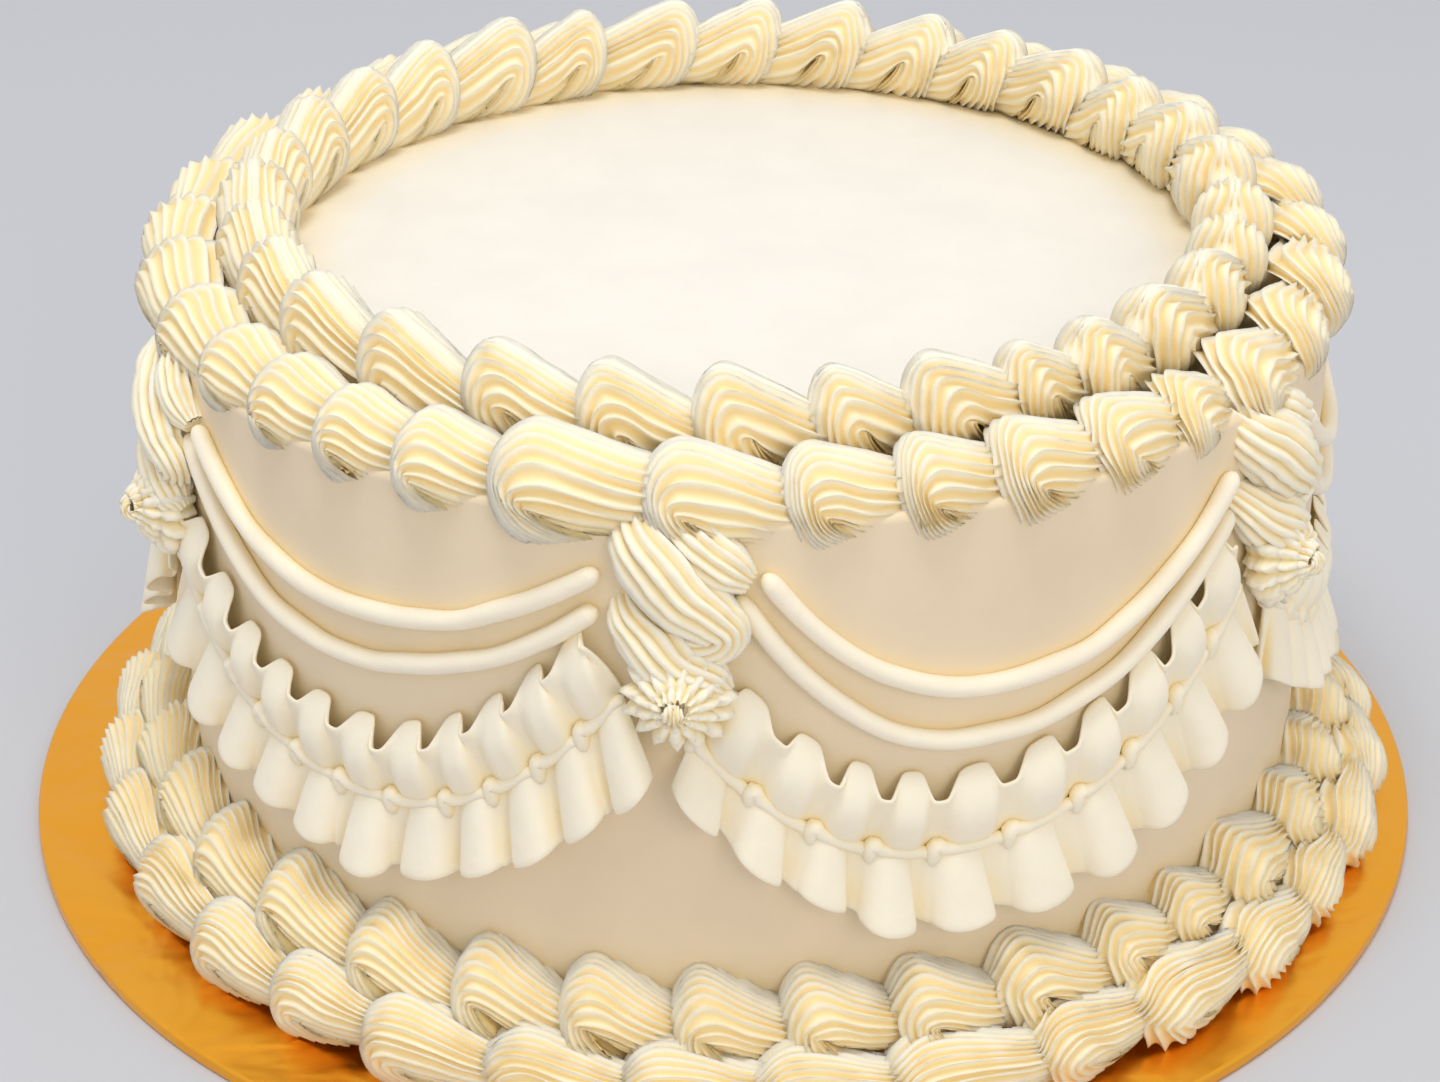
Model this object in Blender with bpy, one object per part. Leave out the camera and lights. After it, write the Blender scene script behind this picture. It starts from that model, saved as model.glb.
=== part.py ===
"""A round buttercream cake with piped shell borders, swags and ruffles, on its gold card board.

Metres, +Z up. The origin is the middle of the board's underside. Azimuth 0 is the front (-Y),
and azimuths grow towards +X, so they run anticlockwise seen from above. Every piped piece is a
solid of its own, a small gap away from what it sits on.
"""

import math
import random

import bmesh
import bpy
from mathutils import Matrix, Vector

# Driving sizes: a nine and a half inch cake on a twelve inch board
BOARD_RADIUS = 0.1524
BOARD_THICKNESS = 0.003
CAKE_RADIUS = 0.1207
CAKE_HEIGHT = 0.1204
CAKE_SHIFT_X = 0.0041
GAP = 0.0003
ROUND_SIDES = 64

BOARD_TOP = BOARD_THICKNESS
CAKE_TOP = BOARD_TOP + CAKE_HEIGHT
WALL = CAKE_RADIUS + GAP

# Shell rows: how many shells, where the first head starts, and how uneven the hand was
INNER_SHELLS = 31
INNER_START = -6.6
OUTER_SHELLS = 33
OUTER_START = -10.2
UPPER_BASE_SHELLS = 35
UPPER_BASE_START = -7.0
LOWER_BASE_SHELLS = 33
LOWER_BASE_START = -5.3
# How full a shell is along its length, as (share of its length, fullness)
SHELL_STEPS = ((0.0, 0.45), (0.17, 1.0), (0.48, 0.96), (0.82, 0.66))
FULLEST = 1.03
SIZE_SPREAD = 0.05
PLACE_SPREAD = 0.04

# The two top rows lean on each other at this radius
TOP_ROW_MEETING = 0.1075
INNER_FOOT = 0.0920
INNER_CREST = 0.0182
OUTER_MIDDLE = 0.1140
OUTER_REACH = 0.0100
OUTER_RISE = 0.0015
OUTER_HANG = 0.0062
OUTER_BULGE = 0.0034

# The two base rows meet on a sloping surface between these heights above the board
BASE_WALL_MEETING = 0.0090
BASE_MEETING_RADIUS = 0.1300
BASE_MEETING_HEIGHT = 0.0122
LOWER_BASE_RADIUS = 0.1405
LOWER_BASE_CREST = 0.0138
UPPER_BASE_RADIUS = 0.1340
UPPER_BASE_TOP = 0.0275
UPPER_BASE_LIP = 0.0032

# Six swags hang between six drops, and every other one hangs a little higher
SWAGS = 6
SWAG_ANGLE = 360.0 / SWAGS
FIRST_DROP = -5.1
SAG_POWER = 2.2
HIGHER = 0.0075

# A line's left end in degrees after its left drop and its height above the board, its lowest
# point alike, and its right end in degrees before its right drop
UPPER_STRING = ((7.0, 0.1085), (27.0, 0.0840), (8.5, 0.1090))
LOWER_STRING = ((6.6, 0.0985), (25.7, 0.0735), (8.0, 0.1000))
SEAM = ((4.0, 0.0700), (23.5, 0.0515), (5.5, 0.0800))

STRING_RADIUS = 0.00195
STRING_POINTS = 10
STRING_TIP_SHARE = 0.014
STRING_TIP_SIZE = 0.45

# Ruffles: a frill stands up from the seam and a flounce hangs from it
FOLDS = 12
FRILL_RISE = 0.0130
FRILL_FLARE = 0.0058
FLOUNCE_FALL = 0.0150
FLOUNCE_FLARE = 0.0075
RUFFLE_BACK = 0.0009
SEAM_WAVE = 0.0022
LEAN = 0.55
SHEET = 0.0012
SEAM_GAP = 0.0004

# A drop's lobes as (place, half size), from its top on the wall: across, out and up
DROP_TOP = 0.1165
DROP_LOBES = (
    ((-0.0030, 0.0046, -0.0060), (0.0090, 0.0060, 0.0062)),
    ((0.0030, 0.0050, -0.0138), (0.0092, 0.0064, 0.0056)),
    ((-0.0026, 0.0050, -0.0206), (0.0092, 0.0064, 0.0058)),
    ((0.0000, 0.0040, -0.0290), (0.0092, 0.0082, 0.0092)),
)
LOBE_SIDES = 8
LOBE_BANDS = 6


def clear_scene():
    for obj in list(bpy.data.objects):
        bpy.data.objects.remove(obj, do_unlink=True)


def new_collection(name):
    collection = bpy.data.collections.new(name)
    bpy.context.scene.collection.children.link(collection)
    return collection


def new_material(name, colour, roughness, metallic=0.0):
    material = bpy.data.materials.new(name)
    material.use_nodes = True
    shader = material.node_tree.nodes["Principled BSDF"]
    shader.inputs["Base Color"].default_value = (*colour, 1.0)
    shader.inputs["Roughness"].default_value = roughness
    shader.inputs["Metallic"].default_value = metallic
    return material


def add_object(name, mesh, collection, material):
    obj = bpy.data.objects.new(name, mesh)
    obj.data.materials.append(material)
    collection.objects.link(obj)
    return obj


def mesh_from(name, bm):
    bmesh.ops.recalc_face_normals(bm, faces=bm.faces[:])
    mesh = bpy.data.meshes.new(name)
    bm.to_mesh(mesh)
    bm.free()
    mesh.shade_smooth()
    mesh.set_sharp_from_angle(angle=math.radians(50))
    return mesh


def on_cake(azimuth, radius, height):
    """The point at this azimuth in degrees, this far from the cake's axis, this high above the board."""
    turn = math.radians(azimuth)
    return Vector(
        (CAKE_SHIFT_X + radius * math.sin(turn), -radius * math.cos(turn), BOARD_TOP + height)
    )


def cylinder(name, radius, low, high, shift_x, collection, material):
    bm = bmesh.new()
    bmesh.ops.create_cone(
        bm,
        cap_ends=True,
        segments=ROUND_SIDES,
        radius1=radius,
        radius2=radius,
        depth=high - low,
        matrix=Matrix.Translation((shift_x, 0.0, (low + high) / 2)),
    )
    return add_object(name, mesh_from(name, bm), collection, material)


def ring_loft(bm, rings):
    """Skins a closed row of rings of points."""
    made = [[bm.verts.new(point) for point in ring] for ring in rings]
    sides = len(made[0])
    for ring, following in zip(made, made[1:] + made[:1]):
        for side in range(sides):
            after = (side + 1) % sides
            bm.faces.new((ring[side], ring[after], following[after], following[side]))


def strip_loft(bm, rings):
    """Skins a row of four-cornered rings and caps its ends. Both broad faces are split alike, so
    that the thin walls never cross where the strip twists."""
    made = [[bm.verts.new(point) for point in ring] for ring in rings]
    for ring, following in zip(made, made[1:]):
        back_low, front_low, front_high, back_high = ring
        next_back_low, next_front_low, next_front_high, next_back_high = following
        bm.faces.new((back_low, front_low, next_front_low, next_back_low))
        bm.faces.new((front_high, back_high, next_back_high, next_front_high))
        bm.faces.new((front_low, front_high, next_front_high))
        bm.faces.new((front_low, next_front_high, next_front_low))
        bm.faces.new((back_low, next_back_high, back_high))
        bm.faces.new((back_low, next_back_low, next_back_high))
    bm.faces.new(made[0])
    bm.faces.new(made[-1])


def inner_section(full):
    """The inner top row: it stands on the cake's top, and its outer side leans on the outer row."""
    side = TOP_ROW_MEETING - GAP / 2
    width = (side - INNER_FOOT) * (0.6 + 0.4 * full)
    crest = INNER_CREST * (0.45 + 0.55 * full)
    seat = CAKE_HEIGHT + GAP
    return (
        (side - 0.95 * width, seat),
        (side, seat),
        (side, seat + 0.63 * crest),
        (side - 0.20 * width, seat + 0.93 * crest),
        (side - 0.53 * width, seat + crest),
        (side - 0.86 * width, seat + 0.78 * crest),
        (side - width, seat + 0.34 * crest),
    )


def outer_section(full):
    """The outer top row: it wraps the cake's top edge, and hangs a little way down the wall."""
    side = TOP_ROW_MEETING + GAP / 2
    middle = CAKE_HEIGHT + OUTER_RISE
    crest = OUTER_REACH * (0.5 + 0.5 * full)
    return (
        (side, CAKE_HEIGHT + GAP),
        (WALL, CAKE_HEIGHT + GAP),
        (WALL, CAKE_HEIGHT - OUTER_HANG * full),
        (WALL + OUTER_BULGE * full, middle - 0.24 * OUTER_REACH * full),
        (WALL + 0.7 * OUTER_BULGE * (full - 0.7), middle + 0.62 * crest),
        (OUTER_MIDDLE + 0.16 * OUTER_REACH, middle + crest),
        (side, middle + 0.82 * crest),
    )


def lower_base_section(full):
    """The lower base row: it stands on the board, and its back fills the corner under the upper row."""
    reach = (LOWER_BASE_RADIUS - BASE_MEETING_RADIUS) * (0.5 + 0.5 * full)
    crest = LOWER_BASE_CREST * (0.82 + 0.18 * full)
    return (
        (WALL, GAP),
        (BASE_MEETING_RADIUS + 0.79 * reach, GAP),
        (BASE_MEETING_RADIUS + reach, 0.36 * crest),
        (BASE_MEETING_RADIUS + 0.85 * reach, 0.76 * crest),
        (BASE_MEETING_RADIUS + 0.45 * reach, crest),
        (BASE_MEETING_RADIUS, BASE_MEETING_HEIGHT - 2 * GAP),
        (WALL, BASE_WALL_MEETING - 2 * GAP),
    )


def upper_base_section(full):
    """The upper base row: it lies against the wall, on the lower row's back."""
    front = BASE_MEETING_RADIUS + (UPPER_BASE_RADIUS - BASE_MEETING_RADIUS) * full
    depth = front - WALL
    lip = BASE_MEETING_HEIGHT + UPPER_BASE_LIP
    rise = (UPPER_BASE_TOP - lip) * (0.26 + 0.74 * full)
    return (
        (WALL, BASE_WALL_MEETING),
        (BASE_MEETING_RADIUS - 2 * GAP, BASE_MEETING_HEIGHT),
        (front - 0.06 * depth, lip),
        (front, lip + 0.30 * rise),
        (front - 0.23 * depth, lip + 0.72 * rise),
        (front - 0.58 * depth, lip + 0.98 * rise),
        (WALL, lip + 0.90 * rise),
    )


def shell_row(name, section, count, start, collection, material):
    """One ring of shells, each a full round head that narrows to a tail under the next head."""
    rng = random.Random(name)
    pitch = 360.0 / count
    rings = []
    for shell in range(count):
        size = 1 + rng.uniform(-SIZE_SPREAD, SIZE_SPREAD)
        nudge = rng.uniform(-PLACE_SPREAD, PLACE_SPREAD)
        for along, full in SHELL_STEPS:
            azimuth = start + pitch * (shell + along + nudge)
            fullness = min(full * size, FULLEST)
            rings.append([on_cake(azimuth, r, z) for r, z in section(fullness)])
    bm = bmesh.new()
    ring_loft(bm, rings)
    return add_object(name, mesh_from(name, bm), collection, material)


def hung(line, number):
    """The left end, lowest point and right end of a line of this swag."""
    left, low, right = line
    here = FIRST_DROP + SWAG_ANGLE * number
    lift = HIGHER if number % 2 else 0.0
    return (
        (here + left[0], left[1]),
        (here + low[0], low[1] + lift),
        (here + SWAG_ANGLE - right[0], right[1]),
    )


def hanging_line(azimuth, left, low, right):
    """The height of a line that hangs from left to right through its lowest point."""
    end = left if azimuth < low[0] else right
    share = abs(azimuth - low[0]) / abs(end[0] - low[0])
    return low[1] + (end[1] - low[1]) * share**SAG_POWER


def string_line(name, line, collection, material):
    """A piped string of icing on the wall, round in section, with its ends drawn to a blunt point."""
    left, low, right = line
    curve = bpy.data.curves.new(name, "CURVE")
    curve.dimensions = "3D"
    curve.bevel_depth = STRING_RADIUS
    curve.bevel_resolution = 1
    curve.use_fill_caps = True
    spline = curve.splines.new("POLY")
    spline.points.add(STRING_POINTS + 1)
    inner = [step / (STRING_POINTS - 1) for step in range(1, STRING_POINTS - 1)]
    shares = [0.0, STRING_TIP_SHARE, *inner, 1 - STRING_TIP_SHARE, 1.0]
    for point, share in zip(spline.points, shares):
        azimuth = left[0] + (right[0] - left[0]) * share
        height = hanging_line(azimuth, left, low, right)
        point.co = (*on_cake(azimuth, WALL + STRING_RADIUS, height), 1.0)
        point.radius = STRING_TIP_SIZE if share in (0.0, 1.0) else 1.0
    obj = bpy.data.objects.new(name, curve)
    curve.materials.append(material)
    collection.objects.link(obj)
    return obj


def ruffle(name, seam, reach, flare, collection, material):
    """A thin pleated strip of icing along the seam. A positive reach rises from it, a negative one hangs."""
    steps = 2 * FOLDS
    left, low, right = seam
    near = math.copysign(SEAM_GAP / 2, reach)
    rings = []
    for step in range(steps + 1):
        azimuth = left[0] + (right[0] - left[0]) * step / steps
        height = hanging_line(azimuth, left, low, right)
        ahead = hanging_line(azimuth + 0.5, left, low, right) - hanging_line(azimuth - 0.5, left, low, right)
        slope = math.atan2(ahead, math.radians(1.0) * CAKE_RADIUS)
        lean = -LEAN * slope
        across = math.degrees(reach * math.sin(lean) / CAKE_RADIUS)
        crest = step % 2
        seam_out = WALL + RUFFLE_BACK + SEAM_WAVE * crest
        free_out = WALL + RUFFLE_BACK + flare * crest
        free_height = height + reach * math.cos(lean)
        rings.append(
            [
                on_cake(azimuth, seam_out, height + near),
                on_cake(azimuth, seam_out + SHEET, height + near),
                on_cake(azimuth + across, free_out + SHEET, free_height),
                on_cake(azimuth + across, free_out, free_height),
            ]
        )
    bm = bmesh.new()
    strip_loft(bm, rings)
    return add_object(name, mesh_from(name, bm), collection, material)


def drop_mesh():
    """A zigzag of piped lobes that ends in a rosette, with a flat back. +Y points away from the wall."""
    helpers = new_collection("drop_lobes")
    lobe_turn = Matrix.Rotation(math.radians(90.0), 4, "X")
    pieces = []
    for place, size in DROP_LOBES:
        bm = bmesh.new()
        shape = Matrix.LocRotScale(Vector(place), None, Vector(size)) @ lobe_turn
        bmesh.ops.create_uvsphere(bm, u_segments=LOBE_SIDES, v_segments=LOBE_BANDS, radius=1.0, matrix=shape)
        mesh = bpy.data.meshes.new("lobe")
        bm.to_mesh(mesh)
        bm.free()
        piece = bpy.data.objects.new("lobe", mesh)
        helpers.objects.link(piece)
        pieces.append(piece)
    whole = pieces.pop()
    helpers.objects.unlink(whole)
    bpy.context.scene.collection.objects.link(whole)
    union = whole.modifiers.new("fuse", "BOOLEAN")
    union.operation = "UNION"
    union.operand_type = "COLLECTION"
    union.collection = helpers
    union.solver = "MANIFOLD"
    bpy.context.view_layer.update()
    fused = bpy.data.meshes.new_from_object(whole.evaluated_get(bpy.context.evaluated_depsgraph_get()))
    for piece in pieces + [whole]:
        bpy.data.objects.remove(piece, do_unlink=True)
    bpy.data.collections.remove(helpers)
    bm = bmesh.new()
    bm.from_mesh(fused)
    bpy.data.meshes.remove(fused)
    cut = bmesh.ops.bisect_plane(
        bm,
        geom=bm.verts[:] + bm.edges[:] + bm.faces[:],
        plane_co=(0.0, GAP, 0.0),
        plane_no=(0.0, 1.0, 0.0),
        clear_inner=True,
    )
    rim = [item for item in cut["geom_cut"] if isinstance(item, bmesh.types.BMEdge)]
    bmesh.ops.holes_fill(bm, edges=rim)
    bmesh.ops.triangulate(bm, faces=[face for face in bm.faces if len(face.verts) > 4])
    return mesh_from("drop", bm)


def build():
    clear_scene()
    cake = new_collection("piped_cake")
    icing = new_material("buttercream", (0.93, 0.84, 0.66), 0.45)
    gold = new_material("gold_card", (0.72, 0.38, 0.06), 0.25, 1.0)

    cylinder("cake_board", BOARD_RADIUS, 0.0, BOARD_TOP, 0.0, cake, gold)
    cylinder("cake_body", CAKE_RADIUS, BOARD_TOP + GAP, CAKE_TOP, CAKE_SHIFT_X, cake, icing)

    shell_row("top_inner_border", inner_section, INNER_SHELLS, INNER_START, cake, icing)
    shell_row("top_outer_border", outer_section, OUTER_SHELLS, OUTER_START, cake, icing)
    shell_row("base_upper_border", upper_base_section, UPPER_BASE_SHELLS, UPPER_BASE_START, cake, icing)
    shell_row("base_lower_border", lower_base_section, LOWER_BASE_SHELLS, LOWER_BASE_START, cake, icing)

    drop = drop_mesh()
    for number in range(SWAGS):
        here = FIRST_DROP + SWAG_ANGLE * number
        piece = add_object(f"drop_{number + 1}", drop.copy(), cake, icing)
        piece.location = on_cake(here, WALL, DROP_TOP)
        piece.rotation_euler = (0.0, 0.0, math.radians(here + 180.0))
        string_line(f"string_upper_{number + 1}", hung(UPPER_STRING, number), cake, icing)
        string_line(f"string_lower_{number + 1}", hung(LOWER_STRING, number), cake, icing)
        seam = hung(SEAM, number)
        ruffle(f"frill_{number + 1}", seam, FRILL_RISE, FRILL_FLARE, cake, icing)
        ruffle(f"flounce_{number + 1}", seam, -FLOUNCE_FALL, FLOUNCE_FLARE, cake, icing)


build()
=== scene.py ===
"""The looks of a piped buttercream cake on its gold board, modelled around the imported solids.

Metres, +Z up. Azimuth 0 is the front (-Y) and azimuths grow towards +X. A row of shells is a few
unlike shells, each modelled once, copied round the cake and joined into one piece.
"""

import math
import random
from collections import namedtuple

import bpy
from mathutils import Matrix, Vector


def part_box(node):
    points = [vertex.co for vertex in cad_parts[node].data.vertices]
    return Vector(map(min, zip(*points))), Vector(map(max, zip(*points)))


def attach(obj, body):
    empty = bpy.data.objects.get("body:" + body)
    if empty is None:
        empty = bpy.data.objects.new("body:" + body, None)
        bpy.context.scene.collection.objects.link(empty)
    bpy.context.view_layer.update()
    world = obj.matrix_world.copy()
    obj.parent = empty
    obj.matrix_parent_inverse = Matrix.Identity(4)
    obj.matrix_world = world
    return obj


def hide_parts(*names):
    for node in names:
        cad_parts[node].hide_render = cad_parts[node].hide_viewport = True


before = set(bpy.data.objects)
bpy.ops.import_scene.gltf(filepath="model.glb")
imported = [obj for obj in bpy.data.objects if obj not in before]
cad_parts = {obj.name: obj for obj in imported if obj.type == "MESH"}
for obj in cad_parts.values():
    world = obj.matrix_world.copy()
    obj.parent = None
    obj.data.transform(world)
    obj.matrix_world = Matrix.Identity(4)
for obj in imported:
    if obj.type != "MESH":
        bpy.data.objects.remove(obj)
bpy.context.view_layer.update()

BOARD_LOW, BOARD_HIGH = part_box("cake_board")
CAKE_LOW, CAKE_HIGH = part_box("cake_body")
BOARD_RADIUS = (BOARD_HIGH.x - BOARD_LOW.x) / 2
BOARD_TOP = BOARD_HIGH.z
CAKE_RADIUS = (CAKE_HIGH.x - CAKE_LOW.x) / 2
CAKE_X = (CAKE_HIGH.x + CAKE_LOW.x) / 2
CAKE_TOP = CAKE_HIGH.z
CAKE_HEIGHT = CAKE_TOP - BOARD_TOP
MM = 0.001

# The camera that took the photograph, solved from the board, the cake's top and the drops
CAMERA_PLACE = (-0.0007, -0.5753, 0.3696)
CAMERA_PITCH = 61.23
CAMERA_LENS = 75.0
CAMERA_FILM = 36.0

# Piping: a star tip leaves this many ridges round a rope, and its notches are this share of the
# rope's radius deep in the middle and this share of that depth at their sides
RIDGES = 14
RIDGE_DEPTH = 0.26
RIDGE_SHOULDER = 0.42

# The ridges of each kind of shell, from the outermost to the innermost. Each goes from the tail, along
# the shell, round its head and down to its foot. A point is a share of the shell's length and an angle
# round its body, where 0 faces outwards and 90 up.
TOP_OUTER_RIDGES = (
    (
        (1.35, 150), (1.0, 152), (0.62, 152), (0.28, 148),
        (0.06, 120), (0.0, 60), (0.0, 0), (0.03, -50),
    ),
    (
        (1.35, 84), (1.0, 88), (0.66, 94), (0.36, 100),
        (0.14, 84), (0.07, 44), (0.11, -4), (0.30, -50),
    ),
    (
        (1.35, 20), (1.0, 26), (0.72, 36), (0.45, 43),
        (0.26, 38), (0.20, 18), (0.29, -10), (0.55, -50),
    ),
    (
        (1.35, -47), (1.05, -44), (0.88, -37), (0.70, -26),
        (0.54, -12), (0.41, -1), (0.53, -17), (0.82, -50),
    ),
)
TOP_INNER_RIDGES = (
    (
        (1.35, 90), (1.0, 90), (0.62, 90), (0.28, 90),
        (0.06, 90), (0.0, 60), (0.0, 0), (0.0, -70),
    ),
    (
        (1.35, 56), (1.0, 60), (0.66, 65), (0.36, 70),
        (0.15, 60), (0.07, 30), (0.09, -18), (0.26, -70),
    ),
    (
        (1.35, 16), (1.0, 20), (0.74, 27), (0.5, 33),
        (0.34, 26), (0.27, 4), (0.34, -30), (0.56, -70),
    ),
    (
        (1.35, -66), (1.08, -60), (0.92, -46), (0.77, -26),
        (0.64, -6), (0.555, 4), (0.68, -22), (0.98, -70),
    ),
)
BASE_RIDGES = (
    (
        (1.35, 108), (1.15, 114), (1.0, 122), (0.88, 132),
        (0.78, 144), (0.70, 156), (0.64, 168), (0.6, 180),
    ),
    (
        (1.35, 84), (1.0, 90), (0.75, 96), (0.52, 104),
        (0.34, 114), (0.18, 126), (0.06, 140), (0.0, 154),
    ),
    (
        (1.35, 62), (1.0, 66), (0.68, 74), (0.38, 82),
        (0.14, 76), (0.02, 50), (0.0, 0), (0.02, -60),
    ),
    (
        (1.35, 26), (1.0, 30), (0.68, 38), (0.42, 44),
        (0.22, 36), (0.13, 14), (0.20, -16), (0.46, -60),
    ),
    (
        (1.35, -30), (1.1, -26), (0.9, -17), (0.70, -5),
        (0.52, 7), (0.38, 13), (0.56, -12), (0.92, -60),
    ),
)
FOOT_RIDGES = (
    (
        (1.35, 100), (1.1, 106), (0.9, 112), (0.7, 120),
        (0.5, 128), (0.3, 130), (0.1, 128), (0.0, 120),
    ),
    (
        (1.35, 72), (1.0, 78), (0.7, 84), (0.45, 88),
        (0.22, 80), (0.08, 62), (0.0, 50), (0.0, 36),
    ),
    (
        (1.35, 46), (1.0, 50), (0.7, 56), (0.44, 60),
        (0.2, 52), (0.06, 26), (0.0, 0), (0.02, -40),
    ),
    (
        (1.35, 10), (1.0, 14), (0.72, 20), (0.48, 26),
        (0.3, 20), (0.2, 4), (0.25, -14), (0.46, -40),
    ),
    (
        (1.35, -36), (1.1, -33), (0.94, -27), (0.78, -18),
        (0.62, -8), (0.52, -3), (0.64, -14), (0.9, -40),
    ),
)
SHELL_KINDS = 5

# A shell's body is fullest at this share of its length, and tapers from there by this power
SHELL_FULLEST = 0.33
TAPER_POWER = 1.2

# Its sheet: steps along each ridge, how closely the inner ridges crowd together, and how far they
# stray by hand, as a share of the length past HEAD_END, in degrees and as a share of their spacing
SHELL_STEPS = 34
SHELL_CROWDING = 1.35
HEAD_END = 0.05
STRAY_ALONG = 0.02
STRAY_TURN = 3
STRAY_ACROSS = 0.22

# Steps along and round the body from which the direction out of it is worked out
STEP_ALONG = 0.02
STEP_TURN = 2

# Grooves between ridges, in millimetres at the outermost and the innermost, with the unevenness of
# their depth and the power that rounds them. They fade over POLE of the length at the head, and over
# CREST_FADE degrees below the crest of a shell with two sides. The last number is the power by which
# the painted shade of a groove grows over the whole nest.
GROOVE_DEPTH = 2.1
GROOVE_SHALLOW = 1.15
GROOVE_UNEVEN = (0.75, 1.2)
GROOVE_ROUND = 0.8
POLE = 0.04
CREST = 90.0
CREST_FADE = 12.0
NEST_SHADING_POWER = 3

# Behind the innermost ridge the sheet turns in towards the body's axis, to these shares of its radius
NEST_SHRINK = (0.80, 0.5)

# The two sides of a shell are merged where they are this close
MERGE_GAP = 0.00002

# Azimuths at which the shells in view begin, read from the photograph, with one guessed at each side.
# The foot's row shows only one such place well.
TOP_OUTER_STARTS = (-58.9, -50.0, -41.1, -32.2, -22.9, -9.7, 2.6, 12.6, 21.4, 31.3, 41.0, 49.0)
TOP_INNER_STARTS = (-57.0, -43.9, -30.3, -17.8, -5.8, 6.1, 16.1, 27.3, 36.0, 46.0)
BASE_STARTS = (-59.3, -48.6, -37.2, -26.5, -16.4, -6.7, 2.7, 12.0, 21.5, 32.0, 40.4, 48.3)
FOOT_STARTS = (-10.3,)

# One shell of a row: the row's radius, the space from shell to shell, half its width and height, how
# much of these it loses by the tail, how far the tail drops, and how far it drifts outwards
ShellSize = namedtuple("ShellSize", "radius pitch half_width half_height taper fall drift")
OUTER_SIZE = ShellSize(0.1140, 0.0217, 0.0103, 0.0103, 0.32, 0.0015, -0.001)
INNER_SIZE = ShellSize(0.0995, 0.0202, 0.0084, 0.0105, 0.30, 0.0050, 0.0)
BASE_SIZE = ShellSize(0.1225, 0.0220, 0.0115, 0.0120, 0.38, 0.0030, 0.0015)
FOOT_SIZE = ShellSize(0.1330, 0.0253, 0.0098, 0.0100, 0.34, 0.0, 0.0)

# A row: its name and node, one shell's size and ridges, the spaces between ridges, the columns of the
# sheet in each space, whether its inner side shows, the azimuths seen, how many shells it has, and the
# height of their middles above the board
ShellRow = namedtuple("ShellRow", "name node size ridges spaces columns two_sided seen count height")
SHELL_ROWS = (
    ShellRow(
        "outer_shells", "top_outer_border", OUTER_SIZE, TOP_OUTER_RIDGES, 11, 6, False,
        TOP_OUTER_STARTS, 33, CAKE_HEIGHT + 0.0015,
    ),
    ShellRow(
        "inner_shells", "top_inner_border", INNER_SIZE, TOP_INNER_RIDGES, 8, 5, True,
        TOP_INNER_STARTS, 31, CAKE_HEIGHT + 0.0093,
    ),
    ShellRow(
        "base_shells", "base_upper_border", BASE_SIZE, BASE_RIDGES, 14, 5, False,
        BASE_STARTS, 35, 0.0155,
    ),
    ShellRow(
        "foot_shells", "base_lower_border", FOOT_SIZE, FOOT_RIDGES, 13, 5, False,
        FOOT_STARTS, 33, 0.0068,
    ),
)

# How far a hand strays from shell to shell: in radius, in degrees of lean, in size, in degrees of tilt
# and in spacing round the back. A shell that is stretched along its row grows by ROW_GROWTH of the
# stretch in width and height too.
ROW_STRAY = 0.4 * MM
ROW_LEAN = 4
ROW_UNEVEN = 0.04
ROW_TILT = 3
ROW_SPACING = 0.07
ROW_GROWTH = 0.35

# Unevenness of soft icing: the size of its lumps and how high they stand
SHELL_LUMPS = (0.006, 0.0006)
DROP_LUMPS = (0.004, 0.0008)
ROSETTE_LUMPS = (0.0028, 0.0016)

# A drop's two main strokes, in millimetres: across, out and up from its top, and half thickness. Each
# starts behind the wall at the left and runs down to the right, where the first turns back under
# itself. The tuft fills the top's right side. A hand strays by DROP_STRAY across, out and up, and the
# whole drop is pressed to DROP_FLATNESS of its depth.
DROP_STROKES = (
    (
        (-9.0, -6.0, -1.0, 4.5),
        (-7.4, -0.6, -3.4, 6.4),
        (-4.0, 2.4, -7.0, 7.6),
        (0.6, 4.4, -11.0, 7.2),
        (4.8, 5.0, -14.6, 5.8),
        (7.4, 4.4, -17.6, 5.0),
        (4.4, 3.8, -20.0, 4.6),
        (-1.5, 2.6, -19.4, 4.6),
        (-5.0, 1.0, -18.4, 3.4),
    ),
    (
        (-10.4, -5.0, -15.0, 3.6),
        (-8.8, 0.4, -17.6, 5.2),
        (-5.6, 3.0, -20.6, 6.6),
        (-0.6, 5.0, -24.4, 6.4),
        (4.0, 5.0, -27.4, 5.0),
        (6.6, 3.4, -29.6, 2.6),
    ),
)
DROP_TUFT = (
    (-3.0, -5.0, 2.0, 4.0),
    (0.6, -0.6, -1.6, 5.4),
    (4.0, 1.2, -4.0, 5.6),
    (7.8, 1.4, -6.6, 5.0),
    (11.0, 0.8, -8.8, 2.8),
)
DROP_FLATNESS = 0.84
DROP_STRAY = (0.4, 0.2, 0.4)
DROP_UNEVEN = 0.04

# The rosette at a drop's foot, in millimetres: its middle, across and up, then three rings of toothed
# blades, each a list of how far out and how wide. They rise by ROSETTE_LIFT of their way out.
ROSETTE_MIDDLE = (-0.9, -31.0)
ROSETTE_RINGS = (
    ((1.0, 8.0), (4.0, 10.0), (6.6, 10.4), (8.4, 9.4), (9.6, 7.4)),
    ((5.0, 6.8), (8.4, 7.8), (10.8, 7.4), (12.2, 5.8), (12.6, 4.2)),
    ((9.0, 3.6), (11.8, 4.4), (13.6, 3.8), (14.6, 2.4), (14.4, 1.0)),
)
ROSETTE_LIFT = 0.1
ROSETTE_TEETH = 15
ROSETTE_DEPTH = 0.27

# The height of a drop's top above the board
DROP_TOP = 0.1185
DROP_KINDS = 3

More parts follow.
